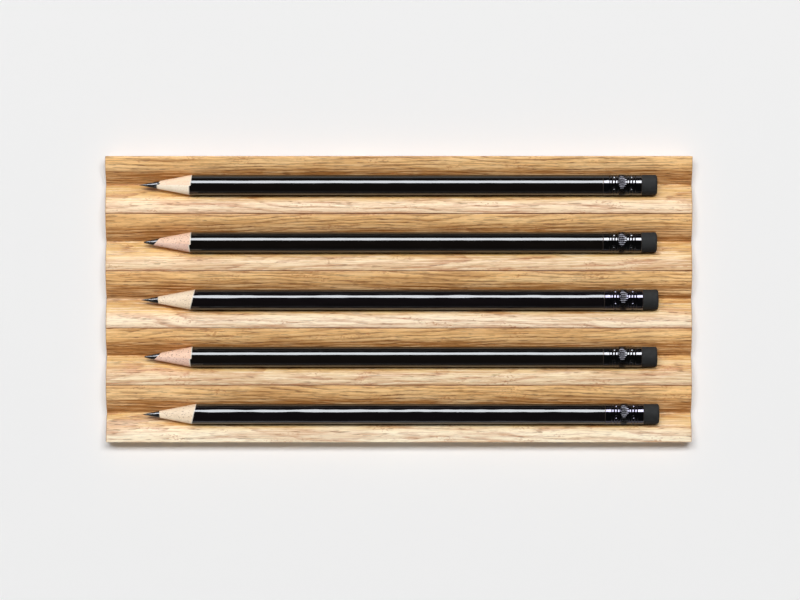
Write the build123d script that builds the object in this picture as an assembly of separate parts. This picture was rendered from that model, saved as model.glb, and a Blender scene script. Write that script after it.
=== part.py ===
from build123d import *
import math
import os
from typing import NamedTuple

# Oak pen tray: moulded staves glued edge to edge, each with one groove,
# and a black lacquered round pencil with an eraser lying in every groove.
# Millimetres. X runs along the grooves with the points towards -X, +Y is the back,
# +Z is up, and the origin is the middle of the underside.

# Tray
STAVE_WIDTH = 21.0
TRAY_LENGTH = 215.0
TRAY_HEIGHT = 8.0
GROOVE_DEPTH = 5.0
ROOT_RADIUS = 0.4
CREST_EASING = 0.3
EDGE_EASING = 0.3

# Pencil, turned round its own axis, from the point of the sharpened cone to the eraser's end
PENCIL_LENGTH = 190.0
PENCIL_DIAMETER = 7.4
LACQUER_THICKNESS = 0.12
LEAD_DIAMETER = 2.5
SHARPENED_LENGTH = 19.6

# Ferrule, from the shoulder of the casing to the eraser
FERRULE_STEP = 0.1
FERRULE_WALL = 0.35
FRONT_COLLAR = 2.5
FLUTED_BAND = 2.6
BAND_LAND = 0.6
REAR_COLLAR = 2.3
BEAD_PITCH = 1.05
BEADS_PER_SIDE = 3
BEAD_DEPTH = 0.18
FLUTE_COUNT = 36
FLUTE_DEPTH = 0.12
STAKE_COUNT = 6
STAKE_RADIUS = 0.55
STAKE_DEPTH = 0.2
TENON_LENGTH = 7.0

# Eraser
ERASER_EXPOSED = 5.7
ERASER_INSET = 0.12
ERASER_ROUNDING = 0.8

# Fits
SEAT_CLEARANCE = 0.15
GLUE_FILM = 0.03
PLUG_CLEARANCE = 0.03
PLUG_GAP = 0.5


class Pencil(NamedTuple):
    """What differs from one pencil to the next."""

    shift: float  # along the groove from the middle, towards the eraser
    roll: float  # of the casing's glue seam from level, in degrees
    turn: float  # of the ferrule's first stakes from the back, in degrees
    point_radius: float  # of the worn point
    cone_offset: float  # of the sharpening axis from the pencil's, towards the back
    lead_offset: float  # of the lead from the pencil's axis, towards the back


# From the back of the tray to the front; each pencil has its own stave
PENCILS = [
    Pencil(
        shift=-0.5, roll=-87.0, turn=47.0,
        point_radius=0.10, cone_offset=-0.08, lead_offset=0.18,
    ),
    Pencil(
        shift=-0.55, roll=-78.0, turn=50.5,
        point_radius=0.50, cone_offset=-0.02, lead_offset=0.20,
    ),
    Pencil(
        shift=0.05, roll=12.0, turn=43.0,
        point_radius=0.14, cone_offset=-0.17, lead_offset=-0.18,
    ),
    Pencil(
        shift=-0.3, roll=-82.0, turn=50.5,
        point_radius=0.46, cone_offset=-0.04, lead_offset=0.20,
    ),
    Pencil(
        shift=0.45, roll=-18.0, turn=43.0,
        point_radius=0.13, cone_offset=-0.16, lead_offset=-0.18,
    ),
]

# Worked out from the sizes above
HALF_STAVE = STAVE_WIDTH / 2
HILL_RADIUS = (HALF_STAVE**2 + GROOVE_DEPTH**2) / (2 * GROOVE_DEPTH)
HILL_CENTRE = TRAY_HEIGHT - HILL_RADIUS
PENCIL_RADIUS = PENCIL_DIAMETER / 2
CASING_RADIUS = PENCIL_RADIUS - LACQUER_THICKNESS
LEAD_RADIUS = LEAD_DIAMETER / 2
CONE_ANGLE = math.atan(PENCIL_RADIUS / SHARPENED_LENGTH)
FERRULE_RADIUS = PENCIL_RADIUS + FERRULE_STEP
FERRULE_BORE = FERRULE_RADIUS - FERRULE_WALL
TENON_RADIUS = FERRULE_BORE - GLUE_FILM
BEADS_LENGTH = BEADS_PER_SIDE * BEAD_PITCH
BAND_LENGTH = FLUTED_BAND + BAND_LAND
FERRULE_LENGTH = FRONT_COLLAR + BEADS_LENGTH + BAND_LENGTH + BEADS_LENGTH + REAR_COLLAR
FERRULE_REAR = PENCIL_LENGTH - ERASER_EXPOSED
SHOULDER = FERRULE_REAR - FERRULE_LENGTH
TENON_END = SHOULDER + TENON_LENGTH


def nest_height(radius):
    """Height above the underside at which a round of this radius lies in a groove, touching both hills."""
    return HILL_CENTRE + math.sqrt((HILL_RADIUS + radius) ** 2 - HALF_STAVE**2)


def hill_height(from_crest):
    """Height of the hill's round at a distance across the stave from its crest."""
    return HILL_CENTRE + math.sqrt(HILL_RADIUS**2 - from_crest**2)


def half_section(outer, easing):
    """Half of a stave's section: straight runs from the underside to the crest, then the convex hill.

    At a stave's end the outline lies deeper by the easing, but for a side that is glued.
    """
    cut = EDGE_EASING if outer else CREST_EASING
    side = HALF_STAVE - (easing if outer else 0)
    underside = [(side - cut, easing), (side, cut + easing)] if outer else [(side, easing)]
    hill_start = HALF_STAVE - side + cut
    hill_end = HALF_STAVE * HILL_RADIUS / (HILL_RADIUS + ROOT_RADIUS)
    hill = [
        (HALF_STAVE - from_crest, hill_height(from_crest) - easing)
        for from_crest in (hill_start, (hill_start + hill_end) / 2, hill_end)
    ]
    return underside + [(side, TRAY_HEIGHT - cut - easing), hill[0]], hill


def mirrored(points):
    """The same points on the stave's other half, in the opposite order."""
    return [(-across, up) for across, up in reversed(points)]


def stave_section(row, easing):
    """Section across one stave, with the root of its groove in the middle."""
    back, back_hill = half_section(row == 0, easing)
    front, front_hill = half_section(row == len(PENCILS) - 1, easing)
    front_hill = mirrored(front_hill)
    root = (0, nest_height(ROOT_RADIUS) - ROOT_RADIUS - easing)
    outline = [
        Polyline(*mirrored(front), *back),
        ThreePointArc(*back_hill),
        ThreePointArc(back_hill[-1], root, front_hill[0]),
        ThreePointArc(*front_hill),
    ]
    return make_face(outline)


def make_stave(row):
    """One moulded stave, with eased ends, and eased long edges where the tray ends."""
    end = TRAY_LENGTH / 2
    stations = ((-end, EDGE_EASING), (EDGE_EASING - end, 0), (end - EDGE_EASING, 0), (end, EDGE_EASING))
    sections = [Plane.YZ.offset(along) * stave_section(row, easing) for along, easing in stations]
    return Pos(0, row_place(row), 0) * loft(sections, ruled=True)


def row_place(row):
    """Y of a groove's root, counting rows from the back."""
    return ((len(PENCILS) - 1) / 2 - row) * STAVE_WIDTH


def rod(radius, start, end):
    """A round along X between two stations."""
    return Pos(start, 0, 0) * extrude(Plane.YZ * Circle(radius), end - start)


def sharpener(pencil):
    """All that sharpening leaves: a rounded point, a cone, and everything behind it."""
    sine, cosine = math.sin(CONE_ANGLE), math.cos(CONE_ANGLE)
    nose = pencil.point_radius / sine
    tip = (nose - pencil.point_radius, 0)
    nose_edge = (nose - pencil.point_radius * sine, pencil.point_radius * cosine)
    halfway = (math.pi + math.pi / 2 + CONE_ANGLE) / 2
    nose_middle = (
        nose + pencil.point_radius * math.cos(halfway),
        pencil.point_radius * math.sin(halfway),
    )
    cone_end = (2 * SHARPENED_LENGTH, PENCIL_DIAMETER)
    rear = (2 * PENCIL_LENGTH, PENCIL_DIAMETER)
    outline = [
        ThreePointArc(tip, nose_middle, nose_edge),
        Polyline(nose_edge, cone_end, rear, (rear[0], 0), tip),
    ]
    return Pos(0, pencil.cone_offset, 0) * revolve(make_face(outline), Axis.X)


def make_lead(pencil):
    """The graphite lead, from the point to the end of the casing."""
    return Pos(0, pencil.lead_offset, 0) * rod(LEAD_RADIUS, 0, TENON_END) & sharpener(pencil)


def make_casing_halves(pencil):
    """The two grooved slats glued round the lead, turned down at the rear to enter the ferrule."""
    casing = rod(CASING_RADIUS, 0, SHOULDER) + rod(TENON_RADIUS, SHOULDER, TENON_END)
    casing -= Pos(0, pencil.lead_offset, 0) * rod(LEAD_RADIUS + GLUE_FILM, 0, TENON_END)
    casing &= sharpener(pencil)
    seam = Plane((0, pencil.lead_offset, 0), x_dir=(1, 0, 0), z_dir=(0, 0, 1)).rotated((pencil.roll, 0, 0))
    return split(casing, bisect_by=seam, keep=Keep.TOP), split(casing, bisect_by=seam, keep=Keep.BOTTOM)


def make_lacquer(pencil):
    """The lacquer coat on the casing, cut back by the sharpening."""
    coat = rod(PENCIL_RADIUS, 0, SHOULDER) - rod(CASING_RADIUS + GLUE_FILM, 0, SHOULDER)
    return coat & sharpener(pencil)


def ferrule_outline():
    """Half section of the ferrule: two collars, two runs of beads and a plain band between them."""
    valley = FERRULE_RADIUS - BEAD_DEPTH
    edges = []
    here = (SHOULDER, FERRULE_RADIUS)
    for plain_length in (FRONT_COLLAR, BAND_LENGTH):
        there = (here[0] + plain_length, FERRULE_RADIUS)
        edges.append(Polyline(here, there, (there[0], valley)))
        for bead in range(BEADS_PER_SIDE):
            start = (there[0] + bead * BEAD_PITCH, valley)
            crown = (start[0] + BEAD_PITCH / 2, FERRULE_RADIUS)
            edges.append(ThreePointArc(start, crown, (start[0] + BEAD_PITCH, valley)))
        here = (there[0] + BEADS_LENGTH, FERRULE_RADIUS)
        edges.append(Line((here[0], valley), here))
    rear = (FERRULE_REAR, FERRULE_RADIUS)
    bore = [(FERRULE_REAR, FERRULE_BORE), (SHOULDER, FERRULE_BORE)]
    edges.append(Polyline(here, rear, *bore, (SHOULDER, FERRULE_RADIUS)))
    return edges


def make_ferrule():
    """The crimped metal sleeve: beads, a fluted band, and stakes that bite into casing and eraser."""
    ferrule = revolve(make_face(ferrule_outline()), Axis.X)
    band = SHOULDER + FRONT_COLLAR + BEADS_LENGTH
    flute = Plane.YZ * RegularPolygon(FLUTE_DEPTH, 4)
    flutes = [
        Rot(360 * turn / FLUTE_COUNT, 0, 0) * Pos(band, FERRULE_RADIUS, 0) * extrude(flute, FLUTED_BAND)
        for turn in range(FLUTE_COUNT)
    ]
    stations = (band - BEADS_LENGTH / 2, band + BAND_LENGTH + BEADS_LENGTH / 2)
    stakes = [
        Rot(360 * turn / STAKE_COUNT, 0, 0)
        * Pos(station, FERRULE_RADIUS - STAKE_DEPTH + STAKE_RADIUS, 0)
        * Sphere(STAKE_RADIUS)
        for station in stations
        for turn in range(STAKE_COUNT)
    ]
    return ferrule - flutes - stakes


def make_eraser():
    """The rubber: a plug held in the ferrule and a rounded head that shows."""
    head = rod(FERRULE_RADIUS - ERASER_INSET, FERRULE_REAR, PENCIL_LENGTH)
    head = fillet(head.edges().sort_by(Axis.X)[-1], ERASER_ROUNDING)
    return rod(FERRULE_BORE - PLUG_CLEARANCE, TENON_END + PLUG_GAP, FERRULE_REAR) + head


def write_node(name, shape, place=None):
    """Writes one named piece, moved to its place on the tray."""
    export_step(shape if place is None else place * shape, f"parts/{name}.step")


def main():
    os.makedirs("parts", exist_ok=True)
    seat = nest_height(max(PENCIL_RADIUS, FERRULE_RADIUS) + SEAT_CLEARANCE)
    ferrule, eraser = make_ferrule(), make_eraser()
    for row, pencil in enumerate(PENCILS):
        number = row + 1
        write_node(f"stave_{number}", make_stave(row))
        place = Pos(pencil.shift - PENCIL_LENGTH / 2, row_place(row), seat)
        upper, lower = make_casing_halves(pencil)
        write_node(f"pencil_{number}_lead", make_lead(pencil), place)
        write_node(f"pencil_{number}_casing_upper", upper, place)
        write_node(f"pencil_{number}_casing_lower", lower, place)
        write_node(f"pencil_{number}_lacquer", make_lacquer(pencil), place)
        write_node(f"pencil_{number}_ferrule", ferrule, place * Rot(pencil.turn, 0, 0))
        write_node(f"pencil_{number}_eraser", eraser, place)


main()
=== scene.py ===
"""Oak pen tray with five black pencils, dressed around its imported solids.

Pieces are shaped in millimetres and finished in metres. X runs along the grooves with the pencil
points towards -X, +Y is the back of the tray, +Z is up and the floor lies at zero.
"""

import logging
import math
from abc import ABC, abstractmethod
from collections.abc import Iterator, Mapping, Sequence
from contextlib import contextmanager
from dataclasses import dataclass
from enum import Enum
from typing import Any

import bpy
from mathutils import Matrix, Vector
from mathutils.kdtree import KDTree


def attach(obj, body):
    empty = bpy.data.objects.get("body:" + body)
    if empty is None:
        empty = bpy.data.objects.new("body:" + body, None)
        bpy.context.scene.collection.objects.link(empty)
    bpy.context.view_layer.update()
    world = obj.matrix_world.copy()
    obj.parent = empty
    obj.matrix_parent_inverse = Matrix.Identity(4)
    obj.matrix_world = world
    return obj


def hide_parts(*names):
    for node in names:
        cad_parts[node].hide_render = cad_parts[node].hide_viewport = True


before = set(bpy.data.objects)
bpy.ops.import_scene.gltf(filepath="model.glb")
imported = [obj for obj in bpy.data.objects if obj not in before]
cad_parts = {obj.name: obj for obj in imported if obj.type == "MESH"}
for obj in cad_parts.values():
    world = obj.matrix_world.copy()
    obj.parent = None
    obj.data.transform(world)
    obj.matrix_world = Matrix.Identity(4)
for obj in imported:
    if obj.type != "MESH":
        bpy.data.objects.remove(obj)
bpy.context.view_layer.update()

LOG = logging.getLogger("pen_tray")
MM = 0.001
WELD = 0.0001
FULL_TURN = 2 * math.pi

Colour = tuple[float, float, float, float]
Station = tuple[float, float]
Edge = tuple[Station, ...]
Place = Sequence[Any]
Inputs = Mapping[str | int, Any]
Piece = bpy.types.Object
Material = bpy.types.Material
Socket = bpy.types.NodeSocket


def paint(red: int, green: int, blue: int) -> Colour:
    """Turns a colour as it looks on a screen into the light that it reflects.

    Args:
        red: Red, from 0 to 255.
        green: Green, from 0 to 255.
        blue: Blue, from 0 to 255.

    Returns:
        The colour as linear red, green, blue and a full alpha.
    """

    def linear(level: int) -> float:
        """Undoes the screen's own curve for one channel."""
        share = level / 255
        return share / 12.92 if share <= 0.04045 else ((share + 0.055) / 1.055) ** 2.4

    return linear(red), linear(green), linear(blue), 1.0


class Amount:
    """A number that varies over a surface, written as plain arithmetic."""

    def __init__(self, graph: "Graph", socket: Socket) -> None:
        """Wraps the socket that carries the number."""
        self.graph = graph
        self.socket = socket

    def maths(self, operation: str, *operands: Any) -> "Amount":
        """Adds one Math node.

        Args:
            operation: The node's operation.
            operands: What the node works on, in order.

        Returns:
            The node's result.
        """
        node = self.graph.add("ShaderNodeMath", {"operation": operation}, dict(enumerate(operands)))
        return Amount(self.graph, node.outputs[0])

    def __add__(self, other: Any) -> "Amount":
        """Sum."""
        return self.maths("ADD", self, other)

    def __radd__(self, other: Any) -> "Amount":
        """Sum, reflected."""
        return self.maths("ADD", other, self)

    def __sub__(self, other: Any) -> "Amount":
        """Difference."""
        return self.maths("SUBTRACT", self, other)

    def __rsub__(self, other: Any) -> "Amount":
        """Difference, reflected."""
        return self.maths("SUBTRACT", other, self)

    def __mul__(self, other: Any) -> "Amount":
        """Product."""
        return self.maths("MULTIPLY", self, other)

    def __rmul__(self, other: Any) -> "Amount":
        """Product, reflected."""
        return self.maths("MULTIPLY", other, self)

    def __truediv__(self, other: Any) -> "Amount":
        """Quotient."""
        return self.maths("DIVIDE", self, other)

    def __abs__(self) -> "Amount":
        """Distance from zero."""
        return self.maths("ABSOLUTE", self)

    def fract(self) -> "Amount":
        """What is left above the whole number below."""
        return self.maths("FRACT", self)

    def rise(self, low: float, high: float) -> "Amount":
        """Climbs smoothly from 0 at the low value to 1 at the high one.

        Args:
            low: Where the climb starts.
            high: Where it ends; below low, the result falls instead.

        Returns:
            The climb, kept between 0 and 1.
        """
        values = {"Value": self, "From Min": low, "From Max": high}
        node = self.graph.add("ShaderNodeMapRange", {"interpolation_type": "SMOOTHSTEP"}, values)
        return Amount(self.graph, node.outputs[0])


class Graph:
    """The node tree of a finish or of the studio's walls."""

    def __init__(self, tree: bpy.types.NodeTree) -> None:
        """Clears the tree that the nodes go into."""
        self.tree = tree
        self.tree.nodes.clear()

    def add(
        self, kind: str, settings: Mapping[str, Any] | None = None, sockets: Inputs | None = None
    ) -> bpy.types.Node:
        """Adds a node of any kind.

        Args:
            kind: The node's type.
            settings: Its settings, set before its sockets.
            sockets: Values or links of its inputs, by name or place.

        Returns:
            The new node.
        """
        node = self.tree.nodes.new(kind)
        for name, value in (settings or {}).items():
            setattr(node, name, value)
        for name, value in (sockets or {}).items():
            source = value.socket if isinstance(value, Amount) else value
            if isinstance(source, Socket):
                self.tree.links.new(source, node.inputs[name])
            else:
                node.inputs[name].default_value = source
        return node

    def place(self, middle: Sequence[float] = (0.0, 0.0, 0.0)) -> Place:
        """Reads where a point of the piece lies.

        Args:
            middle: The point that counts as zero, in millimetres.

        Returns:
            The distances from it along X, Y and Z, in millimetres.
        """
        values = {
            0: self.add("ShaderNodeTexCoord").outputs["Object"],
            1: [1 / MM] * 3,
            2: [-part for part in middle],
        }
        moved = self.add("ShaderNodeVectorMath", {"operation": "MULTIPLY_ADD"}, values)
        parts = self.add("ShaderNodeSeparateXYZ", sockets={0: moved.outputs[0]})
        return tuple(Amount(self, part) for part in parts.outputs)

    def cloud(
        self, place: Place, length: float, width: float, detail: float = 2.0, roughness: float = 0.5
    ) -> Amount:
        """Smooth random variation, drawn out along X where its length is more than its width.

        Args:
            place: The distances that it varies with, in millimetres.
            length: How far it takes to change along X.
            width: How far it takes to change across.
            detail: How many finer layers it has.
            roughness: How strong the finer layers are.

        Returns:
            The variation, from 0 to 1 about a middle of one half.
        """
        along, across, up = place
        parts = {0: along / length, 1: across / width, 2: up / width}
        spot = self.add("ShaderNodeCombineXYZ", sockets=parts).outputs[0]
        values = {"Vector": spot, "Scale": 1.0, "Detail": detail, "Roughness": roughness}
        return Amount(self, self.add("ShaderNodeTexNoise", sockets=values).outputs[0])

    def blend(self, under: Any, over: Any, cover: Any) -> Socket:
        """Lays one colour over another.

        Args:
            under: The colour below.
            over: The colour above.
            cover: How far the upper colour covers, from 0 to 1.

        Returns:
            The mixed colour.
        """
        mixed = self.add("ShaderNodeMix", {"data_type": "RGBA"}, {0: cover, 6: under, 7: over})
        return mixed.outputs[2]

    def relief(self, height: Amount, strength: float, depth: float) -> Socket:
        """Raises and lowers the surface for the light.

        Args:
            height: The relief, in shares of its depth.
            strength: How much of it shows.
            depth: The depth of the relief in millimetres.

        Returns:
            The bent normal.
        """
        values = {"Strength": strength, "Distance": depth * MM, "Height": height}
        return self.add("ShaderNodeBump", sockets=values).outputs[0]

    def own(self, name: str) -> Amount:
        """Reads a number that the piece's mesh carries at its corners."""
        return Amount(self, self.add("ShaderNodeAttribute", {"attribute_name": name}).outputs["Fac"])


class Finish(ABC):
    """A finish, which makes one material."""

    name: str

    @abstractmethod
    def surface(self, graph: Graph) -> Inputs:
        """Lays out the finish.

        Args:
            graph: Where its nodes go.

        Returns:
            Values and links of the surface's inputs.
        """

    def make(self) -> Material:
        """Builds the material.

        Returns:
            The material, named for the finish.
        """
        material = bpy.data.materials.new(self.name)
        material.use_nodes = True
        graph = Graph(material.node_tree)
        shader = graph.add("ShaderNodeBsdfPrincipled", sockets=self.surface(graph))
        graph.add("ShaderNodeOutputMaterial", sockets={"Surface": shader.outputs[0]})
        return material


@dataclass(frozen=True)
class Board:
    """What differs from one oak board to the next: where and how it was sawn, and its own colour, with its
    front flank's cream painted paler than the back flank as painted light.

    The seed picks the board's stretch of grain. The slant of its growth rings is in degrees, their lean
    is the rise along the board, and their width is in millimetres.
    """

    seed: float
    slant: float
    lean: float
    ring: float
    paleness: float
    cream: Colour


@dataclass(frozen=True)
class OiledOak(Finish):
    """Oiled oak, one board: growth lines, open pores, pale and dark fibres, glue lines and sawn ends.

    The board is sawn so that its growth rings stand nearly square to the back flank of the groove,
    where they show as close lines, and lie nearly flat in the front flank, where they open out. As painted
    light and shade, the front flank is coloured paler and the back flank darker and more golden, and both
    are coloured darker towards the groove's bottom.
    """

    name: str
    board: Board
    row: float
    ridge: float
    end: float
    joint_behind: float | None
    joint_before: float | None
    apart: tuple[float, float] = (400.0, 30.0)
    # Painted light and shade: the lit-side colours are for the front flank, painted paler as painted light,
    # the shade-side colours for the back flank, painted darker as painted shade, and the groove colours are
    # painted shade towards the groove's bottom.
    lit_side_groove_honey: Colour = paint(238, 194, 122)
    shade_side_gold: Colour = paint(255, 206, 140)
    shade_side_groove_amber: Colour = paint(187, 131, 74)
    lit_side_straw: Colour = paint(250, 229, 194)
    shade_side_sand: Colour = paint(252, 214, 160)
    tan: Colour = paint(196, 140, 82)
    shade_side_late: Colour = paint(132, 78, 28)
    pore: Colour = paint(92, 52, 22)
    russet: Colour = paint(178, 106, 56)
    glue: Colour = paint(116, 60, 14)
    sawn_early: Colour = paint(206, 158, 104)
    sawn_late: Colour = paint(142, 94, 50)

    def growth_lines(self, graph: Graph, place: Place, grain: Place) -> Amount:
        """Draws the dark line that ends each year's ring.

        Args:
            graph: Where the nodes go.
            place: Distances from the middle of the groove.
            grain: The same place in the board's own stretch of grain.

        Returns:
            How dark the line is, from 0 to 1.
        """
        along, across, up = place
        slant = math.radians(self.board.slant)
        sway = graph.cloud(grain, 48, 10, 1.0) - 0.5
        ripple = graph.cloud(grain, 7, 1.8, 3.0, 0.6) - 0.5
        depth = across * math.cos(slant) + up * math.sin(slant) + along * self.board.lean
        year = ((depth + sway * 4.0 + ripple * 0.8) / self.board.ring).fract()
        return year.rise(0.0, 0.12) * year.rise(0.6, 0.14)

    def glue_lines(
        self, graph: Graph, across: Amount, far: Amount, colour: Socket, stained: Amount
    ) -> tuple[Socket, Amount]:
        """Stains the wood beside the glued joints and draws their broken glue lines.

        Args:
            graph: Where the nodes go.
            across: Distance from the groove, towards the back.
            far: Distance along the board's own stretch of grain.
            colour: The wood's colour so far.
            stained: Where the wood takes the stain, from 0 to 1.

        Returns:
            The new colour, and where glue shows.
        """
        glued = 0.0
        for side, reach in ((1.0, self.joint_behind), (-1.0, self.joint_before)):
            if reach is None:
                continue
            ragged = graph.cloud((far, self.board.seed * 9 + side, 0.0), 7, 1.0, 4.0, 0.6) * 0.7 - 0.35
            tight = graph.cloud((far, self.board.seed * 5 + side, 0.0), 26, 1.0, 2.0, 0.6).rise(0.36, 0.6)
            stain = (across * side + ragged * 2.5).rise(reach - 1.5, reach + 0.2) * stained
            seam = (across * side + ragged * 0.6).rise(reach, reach + 0.25)
            colour = graph.blend(colour, self.russet, stain * 0.4)
            colour = graph.blend(colour, self.glue, seam * (tight * 0.6 + 0.4))
            glued = glued + seam
        return colour, glued

    def surface(self, graph: Graph) -> Inputs:
        """Lays out the board's grain in its own place, with painted light and shade on its flanks.

        Args:
            graph: Where its nodes go.

        Returns:
            Values and links of the surface's inputs.
        """
        place = along, across, up = graph.place((0.0, self.row, 0.0))
        far, near = (part + self.board.seed * step for part, step in zip((along, across), self.apart))
        grain = (far, near, up)
        line = self.growth_lines(graph, place, grain)
        shown = graph.cloud(grain, 20, 2.4).rise(0.36, 0.58)
        # Painted shade: the back flank is coloured darker and more golden than the front flank, which is
        # coloured paler as painted light.
        shaded_flank = across.rise(-0.5, 0.7)
        # Painted shade: both flanks are coloured darker and more saturated towards the groove's bottom,
        # where the pencils and the hills shade the wood.
        groove_shade = up.rise(self.ridge - 0.02, self.ridge - 1.6)
        # Painted shade: the grain's dark marks are drawn stronger on the back flank, and stronger still
        # towards the groove's bottom.
        strength = shaded_flank * (groove_shade * 0.4 + 0.1) + 0.74
        fibre = graph.cloud(grain, 17, 1 / 2.6, 3.0, 0.62)
        figure = graph.cloud(grain, 4.5, 1 / 1.6, 2.0, 0.6)
        tone = graph.cloud(grain, 46, 3.4, 2.0, 0.6)
        dash = graph.cloud(grain, 4.5, 1 / 2.6, 1.0).rise(0.58, 0.65)
        pores = dash * (line * 0.7 + 0.3)
        patch = graph.cloud((far, near + 31.5, up), 12, 3.5, 1.0).rise(0.57, 0.67)
        speck = graph.cloud(grain, 1.1, 1 / 1.6, 1.0).rise(0.54, 0.66) * patch
        # Painted light and shade: dark marks, pale streaks and ground colour each come in a lit-side copy
        # for the front flank and a shade-side copy for the back flank.
        dark = graph.blend(self.russet, self.shade_side_late, shaded_flank)
        pale = graph.blend(self.lit_side_straw, self.shade_side_sand, shaded_flank)
        lit = graph.blend(self.board.cream, self.lit_side_groove_honey, groove_shade)
        colour = graph.blend(lit, graph.blend(self.shade_side_gold, self.shade_side_groove_amber, groove_shade), shaded_flank)
        for mark, cover in (
            (pale, tone.rise(0.48, 0.72) * self.board.paleness),
            (self.tan, tone.rise(0.52, 0.34) * 0.5),
            (pale, fibre.rise(0.53, 0.61) * 0.56),
            (dark, fibre.rise(0.46, 0.38) * strength * 0.55),
            (dark, figure.rise(0.53, 0.66) * strength * 0.34),
            (dark, line * shown * strength * 0.66),
            (self.russet, speck * 0.5),
            (self.pore, pores * strength * 0.6),
        ):
            colour = graph.blend(colour, mark, cover)
        vessel = graph.cloud(grain, 1 / 3, 1 / 3, 1.0).rise(0.52, 0.68)
        sawn = graph.blend(self.sawn_early, self.sawn_late, line * 0.45 + vessel * 0.4 + tone * 0.15)
        colour = graph.blend(colour, sawn, abs(along).rise(self.end - 0.3, self.end - 0.1))
        colour, glued = self.glue_lines(graph, across, far, colour, tone.rise(0.42, 0.6))
        height = fibre * 0.6 - pores - line * shown * 0.4 - figure * 0.3
        return {
            "Base Color": colour,
            "Roughness": 0.5 - fibre * 0.16 + pores * 0.2 + glued * 0.4,
            "Specular IOR Level": 0.25,
            "Normal": graph.relief(height, 0.6, 0.12),
        }


class SlatWood(Enum):
    """The pencils' slats: slot in the record, plain colour, dark fibre, fleck, flecks' cover and reach.

    The reach is where graphite that was rubbed onto the wood ends, along X in millimetres, if it was.
    """

    CREAM = ("casing_beige", paint(254, 240, 218), paint(240, 214, 180), paint(206, 158, 118), 0.25, -88.4)
    PEACH = ("casing_beige", paint(253, 224, 194), paint(238, 196, 152), paint(190, 128, 84), 0.3, -87.6)
    SPECKLED = ("casing_beige", paint(249, 227, 198), paint(228, 198, 162), paint(140, 98, 72), 0.45, None)
    ROSE = ("casing_pink", paint(250, 212, 184), paint(230, 178, 146), paint(136, 72, 54), 0.65, None)
    DUSKY = ("casing_pink", paint(238, 202, 182), paint(212, 166, 148), paint(144, 88, 72), 0.6, None)

    @property
    def slot(self) -> str:
        """The record's material slot."""
        return self.value[0]


@dataclass(frozen=True)
class BareSlat(Finish):
    """Bare sharpened slat wood: fine fibres along the pencil and small dark flecks."""

    name: str
    wood: SlatWood
    graphite: Colour = paint(46, 44, 44)

    def surface(self, graph: Graph) -> Inputs:
        """Lays out fibres, flecks and rubbed graphite.

        Args:
            graph: Where its nodes go.

        Returns:
            Values and links of the surface's inputs.
        """
        _, plain, dark, fleck, cover, reach = self.wood.value
        place = graph.place()
        fibre = graph.cloud(place, 4, 1 / 3.4, 3.0, 0.6)
        drift = graph.cloud(place, 9, 1.25, 1.0).rise(0.35, 0.7)
        speck = graph.cloud(place, 1 / 1.5, 1 / 2.6, 0.0).rise(0.67, 0.74)
        fine = graph.cloud(place, 1 / 3, 0.2, 0.0).rise(0.64, 0.76)
        colour = graph.blend(plain, dark, fibre.rise(0.45, 0.75) * 0.4 + drift * 0.25)
        colour = graph.blend(colour, fleck, speck * cover + fine * cover * 0.45)
        if reach is not None:
            rubbed = (place[0] + fibre * 2.4 - 1.2).rise(reach + 0.15, reach - 0.15)
            colour = graph.blend(colour, self.graphite, rubbed)
        return {
            "Base Color": colour,
            "Roughness": fibre * 0.2 + 0.6,
            "Normal": graph.relief(fibre - speck * 0.5, 0.25, 0.05),
        }


@dataclass(frozen=True)
class Graphite(Finish):
    """Sharpened graphite: nearly black with a metal sheen, scored along the cut."""

    name: str = "graphite"
    dark: Colour = paint(56, 55, 56)
    bright: Colour = paint(88, 87, 88)

    def surface(self, graph: Graph) -> Inputs:
        """Lays out the scores and the grain.

        Args:
            graph: Where its nodes go.

        Returns:
            Values and links of the surface's inputs.
        """
        place = graph.place()
        score = graph.cloud(place, 2.2, 0.2)
        grain = graph.cloud(place, 1 / 6, 1 / 6)
        return {
            "Base Color": graph.blend(self.dark, self.bright, score.rise(0.35, 0.7)),
            "Metallic": 0.85,
            "Roughness": grain * 0.14 + 0.15,
            "Normal": graph.relief(score + grain * 0.3, 0.12, 0.03),
        }


class CoatState(Enum):
    """How a pencil's lacquer came out: the depth of its waves in millimetres, its black and its sheen."""

    EVEN = (0.045, paint(13, 9, 7), paint(20, 15, 12))
    WAVY = (0.15, paint(12, 8, 10), paint(19, 14, 17))


@dataclass(frozen=True)
class BlackLacquer(Finish):
    """Gloss black lacquer over a white undercoat, with slow waves from the dipping and a few dust nibs."""

    name: str
    state: CoatState
    undercoat: Colour = paint(226, 214, 198)

    def surface(self, graph: Graph) -> Inputs:
        """Lays out the waves, the nibs and the undercoat that the sharpening bares.

        Args:
            graph: Where its nodes go.

        Returns:
            Values and links of the surface's inputs.
        """
        depth, black, sheen = self.state.value
        place = graph.place()
        wave = graph.cloud(place, 11, 1.8, 1.0)
        nib = graph.cloud(place, 1 / 1.3, 1 / 1.3, 0.0).rise(0.78, 0.84)
        bared = graph.own("undercoat").rise(0.15, 0.4)
        colour = graph.blend(black, sheen, wave.rise(0.4, 0.8) * 0.5)
        return {
            "Base Color": graph.blend(colour, self.undercoat, bared),
            "Roughness": wave * 0.04 + bared * 0.5 + 0.05,
            "Normal": graph.relief(wave + nib * 0.05, 0.6, depth),
        }


class FerruleTint(Enum):
    """The shades of the anodised black, as body and rubbed colour."""

    BLACK = (paint(70, 69, 70), paint(128, 128, 130))
    VIOLET = (paint(69, 67, 75), paint(128, 125, 140))


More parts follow.
